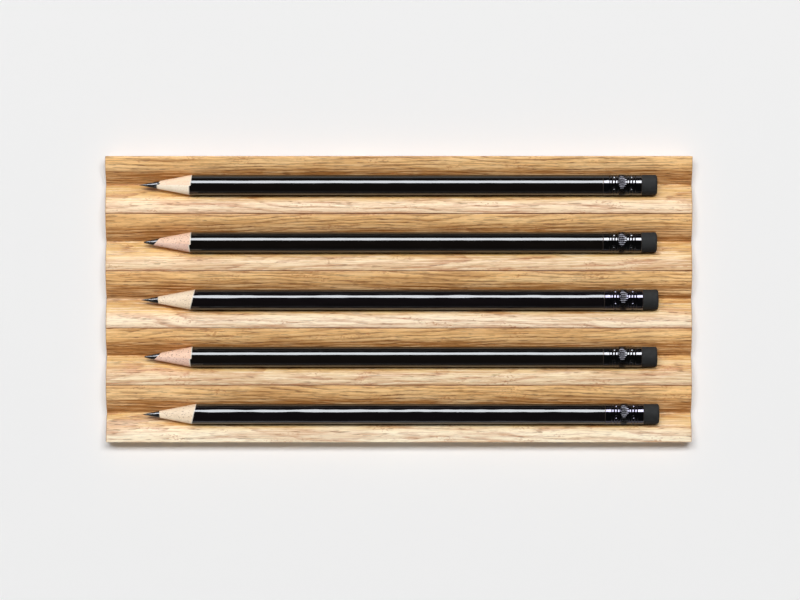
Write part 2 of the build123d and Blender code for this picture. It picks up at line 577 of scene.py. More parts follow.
@dataclass(frozen=True)
class BlackFerrule(Finish):
    """Black anodised metal: bright where it is smooth, greyer where it is rubbed, dull at its worn edges."""

    name: str
    tint: FerruleTint
    dull: Colour = paint(54, 53, 56)
    bare: Colour = paint(70, 61, 54)

    def surface(self, graph: Graph) -> Inputs:
        """Lays out the rubbed places, the worn edges and the fine turning marks.

        Args:
            graph: Where its nodes go.

        Returns:
            Values and links of the surface's inputs.
        """
        body, rubbed = self.tint.value
        place = graph.place()
        rub = graph.cloud(place, 1 / 0.9, 1 / 0.9, 3.0, 0.6).rise(0.5, 0.8)
        flutes, edges = graph.own("fluted"), graph.own("worn_edge")
        brush = graph.cloud(place, 1 / 7, 1.25)
        colour = graph.blend(graph.blend(body, rubbed, rub * 0.3), self.dull, flutes)
        return {
            "Base Color": graph.blend(colour, self.bare, edges),
            "Metallic": 1.0 - edges * 0.5,
            "Roughness": brush * 0.05 + rub * 0.05 + flutes * 0.1 + edges * 0.15 + 0.05,
            "Normal": graph.relief(brush, 0.06, 0.02),
        }


@dataclass(frozen=True)
class GreyRubber(Finish):
    """Dark grey eraser rubber, dull, with a fine tooth and a little dust."""

    name: str = "grey_rubber"
    dark: Colour = paint(31, 31, 31)
    dusty: Colour = paint(41, 41, 41)

    def surface(self, graph: Graph) -> Inputs:
        """Lays out the tooth and the dust.

        Args:
            graph: Where its nodes go.

        Returns:
            Values and links of the surface's inputs.
        """
        place = graph.place()
        tooth = graph.cloud(place, 1 / 7, 1 / 7, 3.0, 0.7)
        smear = graph.cloud(place, 1.5, 1.5).rise(0.4, 0.75)
        return {
            "Base Color": graph.blend(self.dark, self.dusty, smear * 0.5 + tooth.rise(0.5, 0.8) * 0.3),
            "Roughness": tooth * 0.15 + 0.75,
            "Specular IOR Level": 0.25,
            "Normal": graph.relief(tooth, 0.35, 0.04),
        }


@dataclass(frozen=True)
class StudioPaper(Finish):
    """The plain pale floor."""

    name: str = "studio_paper"
    tint: Colour = paint(242, 242, 242)
    glow: Colour = (0.061, 0.061, 0.061, 1.0)

    def surface(self, graph: Graph) -> Inputs:
        """Lays out the paper's faint tooth and the little light that comes through it.

        Args:
            graph: Where its nodes go.

        Returns:
            Values and links of the surface's inputs.
        """
        tooth = graph.cloud(graph.place(), 3, 3)
        return {
            "Base Color": self.tint,
            "Roughness": tooth * 0.1 + 0.9,
            "Specular IOR Level": 0.0,
            "Emission Color": self.glow,
            "Emission Strength": 1.0,
        }


class Bench:
    """The moves that shape a piece in edit mode."""

    @staticmethod
    @contextmanager
    def editing(element: str, action: str = "SELECT") -> Iterator[None]:
        """Holds the active piece in edit mode.

        Args:
            element: What is selected: VERT, EDGE or FACE.
            action: SELECT to start with all of them selected, or DESELECT with none.

        Yields:
            Nothing; the piece is back in object mode afterwards.
        """
        bpy.ops.object.mode_set(mode="EDIT")
        bpy.ops.mesh.select_mode(type=element)
        bpy.ops.mesh.select_all(action=action)
        yield
        bpy.ops.object.mode_set(mode="OBJECT")

    @staticmethod
    def ring(name: str, corners: Sequence[Vector], filled: bool = False) -> Piece:
        """Starts a piece from a ring primitive laid on the corners of a section.

        Args:
            name: The piece's name.
            corners: The corners of the section, in order.
            filled: Whether the section gets a face.

        Returns:
            The new object, which is selected and active.
        """
        bpy.ops.object.select_all(action="DESELECT")
        bpy.ops.mesh.primitive_circle_add(vertices=len(corners), fill_type="NGON" if filled else "NOTHING")
        piece = bpy.context.active_object
        piece.name = piece.data.name = name
        for vertex, corner in zip(piece.data.vertices, corners):
            vertex.co = corner
        return piece

    @staticmethod
    def open_ring(piece: Piece) -> None:
        """Takes out the edge between a ring's last corner and its first.

        Args:
            piece: The ring, in object mode and active.
        """
        with Bench.editing("EDGE", "DESELECT"):
            bpy.ops.object.mode_set(mode="OBJECT")
            for edge in piece.data.edges:
                edge.select = abs(edge.vertices[0] - edge.vertices[1]) > 1
            bpy.ops.object.mode_set(mode="EDIT")
            bpy.ops.mesh.delete(type="EDGE_FACE")

    @staticmethod
    def extrude(distances: Sequence[float]) -> None:
        """Draws the active piece's section out along X.

        Args:
            distances: How far each step goes.
        """
        with Bench.editing("FACE"):
            for distance in distances:
                bpy.ops.mesh.extrude_region_move(TRANSFORM_OT_translate={"value": (distance, 0.0, 0.0)})

    @staticmethod
    def spin(axis: float, sweep: float, steps: int) -> None:
        """Turns the active piece's section round an axis along X, from the back upwards.

        Args:
            axis: Where the axis lies in Y.
            sweep: The angle turned through.
            steps: How many steps the turn has.
        """
        with Bench.editing("VERT"):
            bpy.ops.mesh.spin(steps=steps, angle=-sweep, center=(0.0, axis, 0.0), axis=(1.0, 0.0, 0.0))

    @staticmethod
    def turn(name: str, profile: Sequence[Station], axis: float, steps: int, open_ends: bool) -> Piece:
        """Turns a section through a full circle about an axis along X.

        Args:
            name: The piece's name.
            profile: Distances along the pencil and from the axis.
            axis: Where the axis lies in Y.
            steps: How many steps the turn has.
            open_ends: Whether the section ends on the axis at both ends.

        Returns:
            The turned piece, still at the pencil's own origin.
        """
        piece = Bench.ring(name, [Vector((along, axis + out, 0.0)) for along, out in profile])
        if open_ends:
            Bench.open_ring(piece)
        Bench.spin(axis, FULL_TURN, steps)
        Bench.close()
        return piece

    @staticmethod
    def twin(master: Piece, name: str) -> Piece:
        """Copies a piece that repeats, with a mesh of its own.

        Args:
            master: The piece that was modelled.
            name: The copy's name.

        Returns:
            The copy.
        """
        copy = master.copy()
        copy.data = master.data.copy()
        copy.name = copy.data.name = name
        bpy.context.scene.collection.objects.link(copy)
        return copy

    @staticmethod
    def drop(master: Piece) -> None:
        """Takes away a piece once it has been copied.

        Args:
            master: The piece that was modelled.
        """
        mesh = master.data
        bpy.data.objects.remove(master)
        bpy.data.meshes.remove(mesh)

    @staticmethod
    def close() -> None:
        """Welds the active piece's seams, fills its open ends and turns its faces outwards."""
        with Bench.editing("VERT"):
            bpy.ops.mesh.remove_doubles(threshold=WELD)
            bpy.ops.mesh.fill_holes(sides=0)
            bpy.ops.mesh.select_all(action="SELECT")
            bpy.ops.mesh.normals_make_consistent(inside=False)

    @staticmethod
    def finish(piece: Piece, place: Matrix, crease: float) -> Piece:
        """Puts a shaped piece in its place and smooths its shading.

        Args:
            piece: The piece, in millimetres.
            place: Where it goes, in millimetres.
            crease: The angle in degrees above which an edge stays sharp.

        Returns:
            The piece, in metres.
        """
        piece.data.transform(Matrix.Scale(MM, 4) @ place)
        bpy.ops.object.select_all(action="DESELECT")
        piece.select_set(True)
        bpy.context.view_layer.objects.active = piece
        bpy.ops.object.shade_smooth_by_angle(angle=math.radians(crease))
        return piece

    @staticmethod
    def hand_over(piece: Piece, finish: Material, body: str, slot: str, node: str) -> None:
        """Gives a piece its finish and its part in the assembly.

        Args:
            piece: The finished piece.
            finish: Its material.
            body: The body that it moves with.
            slot: The record's material slot; not used.
            node: The solid that it stands for.
        """
        piece.data.materials.clear()
        piece.data.materials.append(finish)
        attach(piece, body)
        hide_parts(node)
        LOG.info("%s: %d faces on %s", piece.name, len(piece.data.polygons), body)


@dataclass
class Stave:
    """One moulded oak stave, with half a hill on each side of its groove.

    A wave of the crest's wear has a depth in millimetres, a pace in radians for each millimetre along,
    and a phase in radians for each stave.
    """

    number: int
    count: int
    width: float = 21.0
    length: float = 215.0
    height: float = 8.0
    groove_depth: float = 5.0
    root_radius: float = 0.4
    crest_easing: float = 0.3
    edge_easing: float = 0.3
    mid_easing: float = 0.09
    wear_depth: float = 0.06
    wear_waves: tuple[tuple[float, float, float], ...] = ((0.05, 0.11, 1.0), (0.04, 0.37, 2.0))
    crease: float = 32.0
    hill_steps: int = 36
    root_steps: int = 8
    easing_steps: int = 4
    end_steps: int = 3
    bays: int = 43

    @property
    def row(self) -> float:
        """Where the groove lies in Y."""
        return ((self.count + 1) / 2 - self.number) * self.width

    @property
    def half(self) -> float:
        """Half of the stave's width."""
        return self.width / 2

    @property
    def hill_radius(self) -> float:
        """Radius of the hills beside the groove."""
        return (self.half**2 + self.groove_depth**2) / (2 * self.groove_depth)

    @property
    def hill_centre(self) -> float:
        """Height of the hills' axes."""
        return self.height - self.hill_radius

    def hill(self, from_crest: float) -> float:
        """Height of the hill at a distance across from its crest."""
        return self.hill_centre + math.sqrt(self.hill_radius**2 - from_crest**2)

    def nest_height(self, radius: float) -> float:
        """Height at which a round of this radius touches both hills."""
        return self.hill_centre + math.sqrt((self.hill_radius + radius) ** 2 - self.half**2)

    def wear(self, along: float) -> float:
        """How much wider the crest's rounding is at a distance along the tray."""
        turns = ((depth, pace * along + phase * self.number) for depth, pace, phase in self.wear_waves)
        return self.wear_depth + sum(depth * math.sin(turn) for depth, turn in turns)

    def half_outline(self, outer: bool, easing: float, wear: float) -> list[Station]:
        """Corners of half a section, from the underside over the crest to the groove.

        Args:
            outer: Whether this side is an edge of the tray.
            easing: How deep the outline lies below the full section.
            wear: How much wider the crest's rounding is here.

        Returns:
            Distances across from the groove, and heights.
        """
        corners, side, cut = [(self.half, easing)], self.half, self.crest_easing + wear
        if outer:
            side, cut = self.half - easing, self.edge_easing
            rounding = ((cut, 0.0), (self.mid_easing, self.mid_easing), (0.0, cut))
            corners = [(side - inwards, easing + up) for inwards, up in rounding]
        first = self.half - side + cut
        crest = (self.half - first, self.hill(first) - easing)
        points = ((side, self.height - cut - easing), (side, crest[1]), crest)
        for step in range(self.easing_steps + 1):
            t = step / self.easing_steps
            parts = ((1 - t) ** 2, 2 * t * (1 - t), t**2)
            corners.append(tuple(sum(p * q[axis] for p, q in zip(parts, points)) for axis in (0, 1)))
        last = self.half * self.hill_radius / (self.hill_radius + self.root_radius)
        for step in range(1, self.hill_steps + 1):
            from_crest = first + (last - first) * step / self.hill_steps
            corners.append((self.half - from_crest, self.hill(from_crest) - easing))
        radius, root = self.root_radius, self.nest_height(self.root_radius) - easing
        start = math.asin((self.half - last) / radius)
        for step in range(1, self.root_steps):
            turn = start * (1 - step / self.root_steps)
            corners.append((radius * math.sin(turn), root - radius * math.cos(turn)))
        return corners

    def outline(self, easing: float, wear: float) -> list[Station]:
        """Corners of the whole section, in order.

        Args:
            easing: How deep the outline lies below the full section.
            wear: How much wider the crest's rounding is here.

        Returns:
            Distances across from the groove, and heights.
        """
        shaded_flank = self.half_outline(self.number == 1, easing, wear)
        before = self.half_outline(self.number == self.count, easing, wear)
        root = (0.0, self.nest_height(self.root_radius) - self.root_radius - easing)
        return [*shaded_flank, root, *[(-across, up) for across, up in reversed(before)]]

    def stations(self) -> list[tuple[float, float, float]]:
        """Where along the stave its section is set.

        Returns:
            Distances along from the middle, with the easing and the crest's wear there.
        """
        end, ease = self.length / 2, self.edge_easing
        turns = [math.pi / 2 * step / self.end_steps for step in range(self.end_steps + 1)]
        eased = [(ease * (1 - math.cos(turn)), ease * (1 - math.sin(turn))) for turn in turns]
        run = end - ease
        bays = [-run + 2 * run * bay / self.bays for bay in range(1, self.bays)]
        left = [(inset - end, easing, 0.0) for inset, easing in eased]
        right = [(end - inset, easing, 0.0) for inset, easing in reversed(eased)]
        return [*left, *[(along, 0.0, self.wear(along)) for along in bays], *right]

    def build(self) -> Piece:
        """Draws the section out into the stave and eases its ends.

        Returns:
            The stave, in place.
        """
        plain = self.outline(0.0, 0.0)
        stations = self.stations()
        section = [Vector((stations[0][0], *corner)) for corner in plain]
        piece = Bench.ring(f"oak_stave_{self.number}", section, filled=True)
        Bench.extrude([after[0] - before[0] for before, after in zip(stations, stations[1:])])
        tree = KDTree(len(plain))
        for index, corner in enumerate(plain):
            tree.insert((0.0, *corner), index)
        tree.balance()
        outlines = {station: self.outline(*station[1:]) for station in stations}
        for vertex in piece.data.vertices:
            station = min(stations, key=lambda item: abs(item[0] - vertex.co.x))
            index = tree.find((0.0, vertex.co.y, vertex.co.z))[1]
            vertex.co = (station[0], *outlines[station][index])
        Bench.close()
        return Bench.finish(piece, Matrix.Translation((0.0, self.row, 0.0)), self.crease)

    def dress(self, piece: Piece, finish: OiledOak) -> None:
        """Gives the stave its oak."""
        Bench.hand_over(piece, finish.make(), "tray", "oak", f"stave_{self.number}")


@dataclass(frozen=True)
class PencilSizes:
    """The sizes that all the pencils share, from the cone's point at zero to the eraser's end."""

    length: float = 190.0
    diameter: float = 7.4
    lacquer: float = 0.12
    lead_diameter: float = 2.5
    sharpened: float = 19.6
    ferrule_step: float = 0.1
    ferrule_wall: float = 0.35
    front_collar: float = 2.5
    fluted_band: float = 2.6
    band_land: float = 0.6
    rear_collar: float = 2.3
    bead_pitch: float = 1.05
    beads: int = 3
    tenon: float = 7.0
    eraser_exposed: float = 5.7
    glue_film: float = 0.03
    round_steps: int = 128

    @property
    def radius(self) -> float:
        """Radius over the lacquer."""
        return self.diameter / 2

    @property
    def casing_radius(self) -> float:
        """Radius of the bare casing."""
        return self.radius - self.lacquer

    @property
    def lead_radius(self) -> float:
        """Radius of the lead."""
        return self.lead_diameter / 2

    @property
    def slope(self) -> float:
        """Rise of the sharpened cone."""
        return self.radius / self.sharpened

    @property
    def ferrule_radius(self) -> float:
        """Radius over the ferrule's beads."""
        return self.radius + self.ferrule_step

    @property
    def bore(self) -> float:
        """Radius of the ferrule's bore."""
        return self.ferrule_radius - self.ferrule_wall

    @property
    def tenon_radius(self) -> float:
        """Radius of the casing where it enters the ferrule."""
        return self.bore - self.glue_film

    @property
    def bead_run(self) -> float:
        """Length of one run of beads."""
        return self.beads * self.bead_pitch

    @property
    def band(self) -> float:
        """Length between the two runs of beads."""
        return self.fluted_band + self.band_land

    @property
    def ferrule_rear(self) -> float:
        """Where the ferrule ends."""
        return self.length - self.eraser_exposed

    @property
    def shoulder(self) -> float:
        """Where the ferrule begins."""
        return self.ferrule_rear - (self.front_collar + 2 * self.bead_run + self.band + self.rear_collar)

    @property
    def band_start(self) -> float:
        """Where the fluted band begins."""
        return self.shoulder + self.front_collar + self.bead_run

    @property
    def tenon_end(self) -> float:
        """Where lead and casing end inside the ferrule."""
        return self.shoulder + self.tenon


@dataclass(frozen=True)
class Ferrule:
    """The crimped metal sleeve: beads, a fluted band, and stakes that bite into casing and eraser.

    Its edges are given as distances from the edge and depths below the beads' crests.
    """

    sizes: PencilSizes
    bead_depth: float = 0.18
    bead_steps: int = 12
    flutes: int = 36
    flute_depth: float = 0.12
    flute_steps: int = 8
    flute_rows: int = 4
    flute_inset: float = 0.3
    flute_margin: float = 0.05
    stakes: int = 6
    stake_radius: float = 0.76
    stake_depth: float = 0.28
    rolled_edge: Edge = ((0.0, 0.12), (0.05, 0.02), (0.16, 0.0), (0.3, 0.0), (0.4, 0.04), (0.5, 0.04))
    drawn_edge: Edge = ((0.0, 0.2), (0.02, 0.11), (0.12, 0.05), (0.25, 0.04))
    collar_edge: Edge = ((0.05, 0.09), (0.125, 0.04), (0.2, 0.04))
    front_wear: float = 0.2
    rear_wear: float = 0.15

    def edge(self, here: float, shape: Edge, after: bool) -> list[Station]:
        """Lays an edge's shape along the sleeve.

        Args:
            here: Where the edge lies.
            shape: Distances from the edge and depths below the beads' crests.
            after: Whether the wall lies after the edge, or before it.

        Returns:
            Distances along the pencil and from its axis, in order along it.
        """
        full = self.sizes.ferrule_radius
        if after:
            return [(here + far, full - depth) for far, depth in shape]
        return [(here - far, full - depth) for far, depth in reversed(shape)]

    def bead_profile(self, start: float) -> list[Station]:
        """Section over one run of beads, with the edges of the plain wall on both sides of it.

        Args:
            start: Where the run begins.

        Returns:
            Distances along the pencil and from its axis.
        """
        sizes, count = self.sizes, self.sizes.beads * self.bead_steps
        beads = []
        for step in range(count + 1):
            share = step % self.bead_steps / self.bead_steps
            dip = self.bead_depth * (1 - math.sqrt(1 - (2 * share - 1) ** 2))
            beads.append((start + sizes.bead_run * step / count, sizes.ferrule_radius - dip))
        before = self.edge(start, self.collar_edge, after=False)
        return [*before, *beads, *self.edge(start + sizes.bead_run, self.collar_edge, after=True)]

    def profile(self) -> list[Station]:
        """Section through the ferrule's wall.

        Returns:
            Distances along the pencil and from its axis.
        """
        sizes = self.sizes
        start, end, band = sizes.shoulder, sizes.ferrule_rear, sizes.band_start
        fluted = sizes.fluted_band - 2 * self.flute_inset
        rows = [self.flute_inset + fluted * step / self.flute_rows for step in range(self.flute_rows + 1)]
        return [
            (start, sizes.bore),
            *self.edge(start, self.rolled_edge, after=True),
            *self.bead_profile(band - sizes.bead_run),
            *[(band + along, sizes.ferrule_radius) for along in rows],
            *self.bead_profile(band + sizes.band),
            *self.edge(end, self.drawn_edge, after=False),
            (end, sizes.bore),
        ]

    def on_flutes(self, along: float) -> bool:
        """Whether a place along the pencil lies on the flutes."""
        half = self.sizes.fluted_band / 2
        return abs(along - self.sizes.band_start - half) < half - self.flute_inset + self.flute_margin

    def on_edge(self, along: float) -> bool:
        """Whether a place along the pencil lies on an edge that handling wears."""
        front, rear = self.sizes.shoulder + self.front_wear, self.sizes.ferrule_rear - self.rear_wear
        return not front < along < rear

    def pressed(self, along: float, angle: float, out: float) -> float:
        """How far flutes and stakes press in the wall at one point.

        Args:
            along: The point's place along the pencil.
            angle: Its angle round the axis from the first stake.
            out: Its distance from the axis.

        Returns:
            The depth towards the axis.
        """
        sizes, band = self.sizes, self.sizes.band_start
        from_ridge = 2 * (self.flutes * angle / FULL_TURN % 1) - 1
        depth = self.flute_depth * (1 - from_ridge**2) if self.on_flutes(along) else 0.0
        pitch = FULL_TURN / self.stakes
        gap = (angle + pitch / 2) % pitch - pitch / 2
        for row in (band - sizes.bead_run / 2, band + sizes.band + sizes.bead_run / 2):
            far = math.hypot(along - row, gap * sizes.ferrule_radius)
            if far < self.stake_radius:
                bite = math.sqrt(self.stake_radius**2 - far**2) - self.stake_radius + self.stake_depth
                depth = max(depth, out - sizes.ferrule_radius + bite)
        return depth

    def build(self) -> Piece:
        """Turns the wall, marks its flutes and worn edges, then presses in flutes and stakes.

        Returns:
            The sleeve, at the pencil's own origin.
        """
        sizes = self.sizes
        piece = Bench.turn("sleeve", self.profile(), 0.0, self.flutes * self.flute_steps, False)
        for name, marked in (("fluted", self.on_flutes), ("worn_edge", self.on_edge)):
            mark = piece.data.attributes.new(name, "FLOAT", "POINT")
            for vertex in piece.data.vertices:
                mark.data[vertex.index].value = float(marked(vertex.co.x))
        for vertex in piece.data.vertices:
            out = math.hypot(vertex.co.y, vertex.co.z)
            if out > sizes.bore + sizes.ferrule_wall / 3:
                depth = self.pressed(vertex.co.x, math.atan2(vertex.co.z, vertex.co.y), out)
                scale = 1 - depth / out
                vertex.co = (vertex.co.x, vertex.co.y * scale, vertex.co.z * scale)
        return piece


@dataclass(frozen=True)
class Eraser:
    """The rubber: a plug held in the ferrule, and the rounded head that shows."""

    sizes: PencilSizes
    inset: float = 0.12
    rounding: float = 0.8
    rounding_steps: int = 8
    crown: float = 0.06
    waist: float = 0.015
    waist_span: tuple[float, float] = (0.3, 0.6)
    edge: float = 0.1
    neck_gap: float = 0.0125
    plug_clearance: float = 0.03
    plug_gap: float = 0.5

    def build(self) -> Piece:
        """Turns the eraser.

        Returns:
            The eraser, at the pencil's own origin.
        """
        sizes = self.sizes
        plug, head = sizes.bore - self.plug_clearance, sizes.ferrule_radius - self.inset
        start, rear, end = sizes.tenon_end + self.plug_gap, sizes.ferrule_rear, sizes.length
        neck = rear + self.neck_gap
        profile = [(start, 0.0), (start, plug), (neck, plug)]
        profile += [(neck, head - self.edge), (rear + self.edge, head)]
        profile += [(rear + sizes.eraser_exposed * share, head - self.waist) for share in self.waist_span]
        for step in range(self.rounding_steps + 1):
            turn = math.pi / 2 * step / self.rounding_steps
            along = end - self.crown - self.rounding * (1 - math.sin(turn))
            profile.append((along, head - self.rounding * (1 - math.cos(turn))))
        profile += [(end - self.crown / 3, (head - self.rounding) / 2), (end, 0.0)]
        return Bench.turn("rubber", profile, 0.0, sizes.round_steps, True)


@dataclass(frozen=True)
class Sharpening:
    """What differs from one pencil to the next, in millimetres, and degrees round the pencil's axis."""

    shift: float
    seam: float
    stakes: float
    point_radius: float
    cone_offset: float
    lead_offset: float
    upper: SlatWood
    lower: SlatWood
    step: float = 0.0
    coat: CoatState = CoatState.EVEN
    tint: FerruleTint = FerruleTint.BLACK


@dataclass
class Pencil:
    """One round pencil: lead, two slats, lacquer coat, crimped ferrule and eraser."""

    number: int
    row: float
    seat: float
    cut: Sharpening
    sizes: PencilSizes
    nose_share: float = 0.65
    nose_steps: int = 6
    cone_steps: int = 4
    step_ramp: float = 0.06
    step_fade: float = 0.9
    crease: float = 40.0

    @property
    def place(self) -> Matrix:
        """Where the pencil's cone point lies."""
        return Matrix.Translation((self.cut.shift - self.sizes.length / 2, self.row, self.seat))

    @staticmethod
    def reach(radius: float, offset: float, angle: float) -> float:
        """Distance from one axis to a round about another.

        Args:
            radius: The round's radius.
            offset: How far the round's axis lies behind the first.
            angle: The direction, from the back upwards.

        Returns:
            The distance along that direction.
        """
        return offset * math.cos(angle) + math.sqrt(radius**2 - (offset * math.sin(angle)) ** 2)

    def cone_station(self, across: float, up: float) -> float:
        """Where the sharpened cone passes through a line along the pencil."""
        return math.hypot(across - self.cut.cone_offset, up) / self.sizes.slope

    def seam_step(self, across: float, up: float) -> float:
        """How far the front slat's cut stands forward of the back slat's.

        Args:
            across: Place of the line across the pencil.
            up: Its height above the pencil's axis.

        Returns:
            The distance towards the point.
        """
        past = math.atan2(up, across) - math.radians(180.0 + self.cut.seam)
        if self.cut.step == 0.0 or past < 0.0:
            return 0.0
        return self.cut.step * min(past / self.step_ramp, 1.0) * math.exp(-past / self.step_fade)

    def build_lead(self) -> Piece:
        """Turns the lead about the cone's axis, then lays its edge on the lead's own round.

        Returns:
            The lead, in place.
        """
        sizes, axis = self.sizes, self.cut.cone_offset
        lean = math.atan(sizes.slope)
        tip = self.cut.point_radius * (1 / math.sin(lean) - 1)
        nose = self.cut.point_radius * self.nose_share
        profile = [(tip, 0.0)]
        for step in range(1, self.nose_steps + 1):
            turn = math.pi - (math.pi / 2 - lean) * step / self.nose_steps
            profile.append((tip + nose * (1 + math.cos(turn)), nose * math.sin(turn)))
        nose_end, nose_edge = profile[-1]
        for step in range(1, self.cone_steps + 1):
            share = step / self.cone_steps
            along = nose_end + share * (sizes.lead_radius / sizes.slope - nose_end)
            profile.append((along, nose_edge + share * (sizes.lead_radius - nose_edge)))
        profile += [(sizes.tenon_end, sizes.lead_radius), (sizes.tenon_end, 0.0)]
        offset = self.cut.lead_offset - axis
        piece = Bench.turn(f"pencil_{self.number}_point", profile, axis, sizes.round_steps, True)
        for vertex in piece.data.vertices:
            across, up = vertex.co.y - axis, vertex.co.z
            out = math.hypot(across, up)
            if out <= nose_edge + WELD:
                continue
            angle = math.atan2(up, across)
            share = (out - nose_edge) / (sizes.lead_radius - nose_edge)
            edge = self.reach(sizes.lead_radius, offset, angle)
            out = nose_edge + share * (edge - nose_edge)
            along = vertex.co.x
            if along < sizes.sharpened:
                along = nose_end + share * (edge / sizes.slope - nose_end)
            vertex.co = (along, axis + out * math.cos(angle), out * math.sin(angle))
        return Bench.finish(piece, self.place, self.crease)

    def build_slat(self, half: str, start: float) -> Piece:
        """Turns one slat through half a circle about the lead, then fits it to casing and cone.

        Args:
            half: Which slat it is.
            start: The angle of the seam where it begins.

        Returns:
            The slat, in place.
        """
        sizes, axis = self.sizes, self.cut.lead_offset
        inner, outer = sizes.lead_radius + sizes.glue_film, sizes.casing_radius
        fronts = [inner + (outer - inner) * step / self.cone_steps for step in range(self.cone_steps + 1)]
        profile = [(out / sizes.slope, out) for out in fronts]
        profile += [(sizes.shoulder, outer), (sizes.shoulder, sizes.tenon_radius)]
        profile += [(sizes.tenon_end, sizes.tenon_radius), (sizes.tenon_end, inner)]
        cosine, sine = math.cos(start), math.sin(start)
        corners = [Vector((along, axis + out * cosine, out * sine)) for along, out in profile]
        piece = Bench.ring(f"pencil_{self.number}_slat_{half}", corners)
        Bench.spin(axis, math.pi, sizes.round_steps // 2)
        for vertex in piece.data.vertices:
            across, up = vertex.co.y - axis, vertex.co.z
            out, angle = math.hypot(across, up), math.atan2(up, across)
            rear = vertex.co.x > sizes.length / 2
            full = sizes.tenon_radius if rear and out < sizes.tenon_radius + WELD else outer
            share = (out - inner) / (full - inner)
            out = inner + share * (self.reach(full, -axis, angle) - inner)
            across, up = axis + out * math.cos(angle), out * math.sin(angle)
            along = vertex.co.x
            if not rear:
                along = self.cone_station(across, up) - share * self.seam_step(across, up)
            vertex.co = (along, across, up)
        Bench.close()
        return Bench.finish(piece, self.place, self.crease)

    def build_coat(self) -> Piece:
        """Turns the lacquer coat, cuts its front edge back to the cone and marks how deep each corner lies.

        Returns:
            The coat, in place.
        """
        sizes = self.sizes
        inner, outer = sizes.casing_radius + sizes.glue_film, sizes.radius
        front, rear = sizes.sharpened, sizes.shoulder
        profile = [(front, inner), (front, outer), (rear, outer), (rear, inner)]
        piece = Bench.turn(f"pencil_{self.number}_coat", profile, 0.0, sizes.round_steps, False)
        depth = piece.data.attributes.new("undercoat", "FLOAT", "POINT")
        for vertex in piece.data.vertices:
            across, up = vertex.co.y, vertex.co.z
            depth.data[vertex.index].value = (outer - math.hypot(across, up)) / (outer - inner)
            if vertex.co.x < sizes.length / 2:
                vertex.co.x = self.cone_station(across, up) - self.seam_step(across, up)
        return Bench.finish(piece, self.place, self.crease)

    def fit(self, master: Piece, name: str, turn: float) -> Piece:
        """Copies a piece that all pencils share and puts it on this one.

        Args:
            master: The shared piece.
            name: The copy's name, after the pencil's.
            turn: How far it is turned round the pencil's axis, in degrees.

        Returns:
            The copy, in place.
        """
        copy = Bench.twin(master, f"pencil_{self.number}_{name}")
        return Bench.finish(copy, self.place @ Matrix.Rotation(math.radians(turn), 4, "X"), self.crease)

    def build(self, sleeve: Piece, rubber: Piece) -> dict[str, Piece]:
        """Builds every piece of the pencil.

        Args:
            sleeve: The shared ferrule.
            rubber: The shared eraser.

        Returns:
            The pieces, by the solids that they stand for.
        """
        seam = math.radians(self.cut.seam)
        return {
            "lead": self.build_lead(),
            "casing_upper": self.build_slat("upper", seam),
            "casing_lower": self.build_slat("lower", seam + math.pi),
            "lacquer": self.build_coat(),
            "ferrule": self.fit(sleeve, "sleeve", self.cut.stakes),
            "eraser": self.fit(rubber, "rubber", 0.0),
        }

    def dress(self, pieces: Mapping[str, Piece], finishes: Mapping[Any, Material]) -> None:
        """Gives each piece its finish.

        Args:
            pieces: The pieces, by the solids that they stand for.
            finishes: The finishes, by the choice that each stands for.
        """
        cut = self.cut
        dresses = {
            "lead": ("graphite", "graphite"),
            "casing_upper": (cut.upper, cut.upper.slot),
            "casing_lower": (cut.lower, cut.lower.slot),
            "lacquer": (cut.coat, "lacquer"),
            "ferrule": (cut.tint, "ferrule"),
            "eraser": ("rubber", "eraser"),
        }
        body = f"pencil_{self.number}"
        for part, piece in pieces.items():
            choice, slot = dresses[part]
            Bench.hand_over(piece, finishes[choice], body, slot, f"{body}_{part}")


@dataclass(frozen=True)
class SoftLamp:
    """A long soft lamp that shines on the tray's middle, in metres and degrees.

    A mirrored lamp only shows in the gloss, and its glow is that of its face. Any other lamp only lights,
    and its glow is the light that it sends onto the tray.
    """

    name: str
    back: float
    distance: float
    size: tuple[float, float]
    glow: float
    aside: float = 0.0
    mirrored: bool = False
    colour: tuple[float, float, float] = (1.0, 1.0, 1.0)

    @property
    def energy(self) -> float:
        """The lamp's power."""
        return self.glow * (self.size[0] * self.size[1] if self.mirrored else math.pi * self.distance**2)

    def hang(self) -> Piece:
        """Hangs the lamp, leaning to the back from straight above and then moved aside.

        Returns:
            The lamp's object.
        """
        lamp = bpy.data.lights.new(self.name, "AREA")
        lamp.shape = "RECTANGLE"
        lamp.size, lamp.size_y = self.size
        lamp.energy = self.energy
        lamp.color = self.colour
        holder = bpy.data.objects.new(self.name, lamp)
        holder.rotation_euler = (-math.radians(self.back), 0.0, 0.0)
        holder.location = holder.rotation_euler.to_matrix() @ Vector((0.0, 0.0, self.distance))
        holder.location.x += self.aside
        holder.visible_glossy = self.mirrored
        holder.visible_diffuse = not self.mirrored
        holder.visible_camera = False
        bpy.context.scene.collection.objects.link(holder)
        return holder


